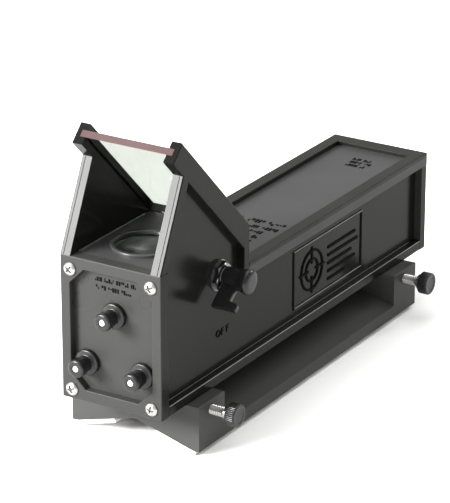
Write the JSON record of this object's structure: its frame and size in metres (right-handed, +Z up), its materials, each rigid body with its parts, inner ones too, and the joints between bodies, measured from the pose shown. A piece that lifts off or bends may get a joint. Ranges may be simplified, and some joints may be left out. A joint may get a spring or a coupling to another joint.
{
  "type": "telescope reflex finder",
  "caption": "Box-shaped unity-power reflex finder with a sloping glass window, adjusters and a lever knob, clamped on a stick-on V-shaped base.",
  "frame": {"origin": "middle of the base's footprint, level with the lowest edges of the foam strips", "axes": "+X to the user's right (thumb-screw side), +Y away from the user along the sight, +Z up"},
  "size_m": [0.0691, 0.2109, 0.124],
  "materials": {
    "black_abs": "semi-gloss moulded ABS",
    "black_abs_panel": "semi-gloss moulded ABS, fine texture",
    "knob_plastic": "black moulded plastic",
    "inner_plastic": "matt black moulded plastic",
    "window_glass": "coated plate glass, faint green, pinkish edge",
    "lens_glass": "clear polished lens",
    "mirror": "front-silvered",
    "screw_steel": "bright nickel plate",
    "nut_chrome": "bright chrome",
    "brass": "machined",
    "spring_steel": "drawn wire",
    "foam": "white double-sided foam tape",
    "led_red": "tinted clear epoxy",
    "reticle": "photographic film on clear disc",
    "pot_metal": "zinc-plated can",
    "cell_jacket": "printed sleeve, plain",
    "wire_red": "PVC insulation",
    "wire_black": "PVC insulation"
  },
  "bodies": {
    "base": {"base_bracket": "black_abs", "foam_strip_left": "foam", "foam_strip_right": "foam"},
    "sight": {"right_side_shell": "black_abs", "left_side_shell": "black_abs", "user_panel": "black_abs_panel", "far_panel": "black_abs_panel", "floor_panel": "black_abs", "lens_deck": "black_abs", "window_glass": "window_glass", "lens": "lens_glass", "lens_ring": "knob_plastic", "mirror_spring_top": "spring_steel", "mirror_spring_left": "spring_steel", "mirror_spring_right": "spring_steel", "adjuster_washers": "knob_plastic", "user_panel_screws": "screw_steel", "far_panel_screws": "screw_steel", "potentiometer": "pot_metal", "control_washer": "nut_chrome", "control_nut": "nut_chrome", "light_mask": "inner_plastic", "reticle_disc": "reticle", "led": "led_red", "battery_holder": "inner_plastic", "battery_cell_left": "cell_jacket", "battery_cell_right": "cell_jacket", "battery_contacts": "spring_steel", "wire_battery_to_control": "wire_red", "wire_control_to_light": "wire_red", "wire_light_to_battery": "wire_black"},
    "lid": {"battery_lid": "black_abs_panel"},
    "brightness_lever": {"brightness_knob": "knob_plastic", "control_shaft": "pot_metal"},
    "mirror_carrier": {"mirror_mount": "inner_plastic", "mirror": "mirror", "mount_inserts": "brass"},
    "adjuster_top": {"adjuster_knob_top": "knob_plastic", "adjuster_screw_top": "screw_steel"},
    "adjuster_left": {"adjuster_knob_left": "knob_plastic", "adjuster_screw_left": "screw_steel"},
    "adjuster_right": {"adjuster_knob_right": "knob_plastic", "adjuster_screw_right": "screw_steel"},
    "near_collar": {"clamp_collar_near": "screw_steel"},
    "near_clamp": {"clamp_screw_near": "screw_steel", "clamp_knob_near": "knob_plastic"},
    "far_collar": {"clamp_collar_far": "screw_steel"},
    "far_clamp": {"clamp_screw_far": "screw_steel", "clamp_knob_far": "knob_plastic"}
  },
  "joints": [
    {"name": "sight_lift", "type": "slide", "parent": "base", "child": "sight", "axis": [0, 0, 1], "range_m": [0, 0.03]},
    {"name": "lid_lift", "type": "slide", "parent": "sight", "child": "lid", "axis": [0, 0, 1], "range_m": [0, 0.03]},
    {"name": "brightness_turn", "type": "hinge", "parent": "sight", "child": "brightness_lever", "pos_m": [0.0234, -0.05745, 0.0623], "axis": [-1, 0, 0], "range_deg": [-45, 225]},
    {"name": "mirror_tilt", "type": "hinge", "parent": "sight", "child": "mirror_carrier", "pos_m": [0.0014, -0.09165, 0.0354], "axis": [1, 0, 0], "range_deg": [-2.7, 2.7]},
    {"name": "adjuster_top_turn", "type": "hinge", "parent": "sight", "child": "adjuster_top", "pos_m": [0.0014, -0.10175, 0.0566], "axis": [0, 1, 0], "range_deg": [-720, 720]},
    {"name": "adjuster_left_turn", "type": "hinge", "parent": "sight", "child": "adjuster_left", "pos_m": [-0.0107, -0.10175, 0.0354], "axis": [0, 1, 0], "range_deg": [-720, 720]},
    {"name": "adjuster_right_turn", "type": "hinge", "parent": "sight", "child": "adjuster_right", "pos_m": [0.0135, -0.10175, 0.0354], "axis": [0, 1, 0], "range_deg": [-720, 720]},
    {"name": "near_clamp_travel", "type": "slide", "parent": "base", "child": "near_collar", "axis": [1, 0, 0], "range_m": [0, 0.00476]},
    {"name": "near_clamp_turn", "type": "hinge", "parent": "near_collar", "child": "near_clamp", "pos_m": [0.036, -0.07525, 0.0161], "axis": [1, 0, 0], "range_deg": [0, 2160]},
    {"name": "far_clamp_travel", "type": "slide", "parent": "base", "child": "far_collar", "axis": [1, 0, 0], "range_m": [0, 0.00476]},
    {"name": "far_clamp_turn", "type": "hinge", "parent": "far_collar", "child": "far_clamp", "pos_m": [0.036, 0.07525, 0.0161], "axis": [1, 0, 0], "range_deg": [0, 2160]}
  ],
  "couplings": [
    {"joint": "adjuster_top_turn", "follows": "mirror_tilt", "ratio": 266.41},
    {"joint": "near_clamp_turn", "follows": "near_clamp_travel", "rad_per_m": 7915.8},
    {"joint": "far_clamp_turn", "follows": "far_clamp_travel", "rad_per_m": 7915.8}
  ]
}
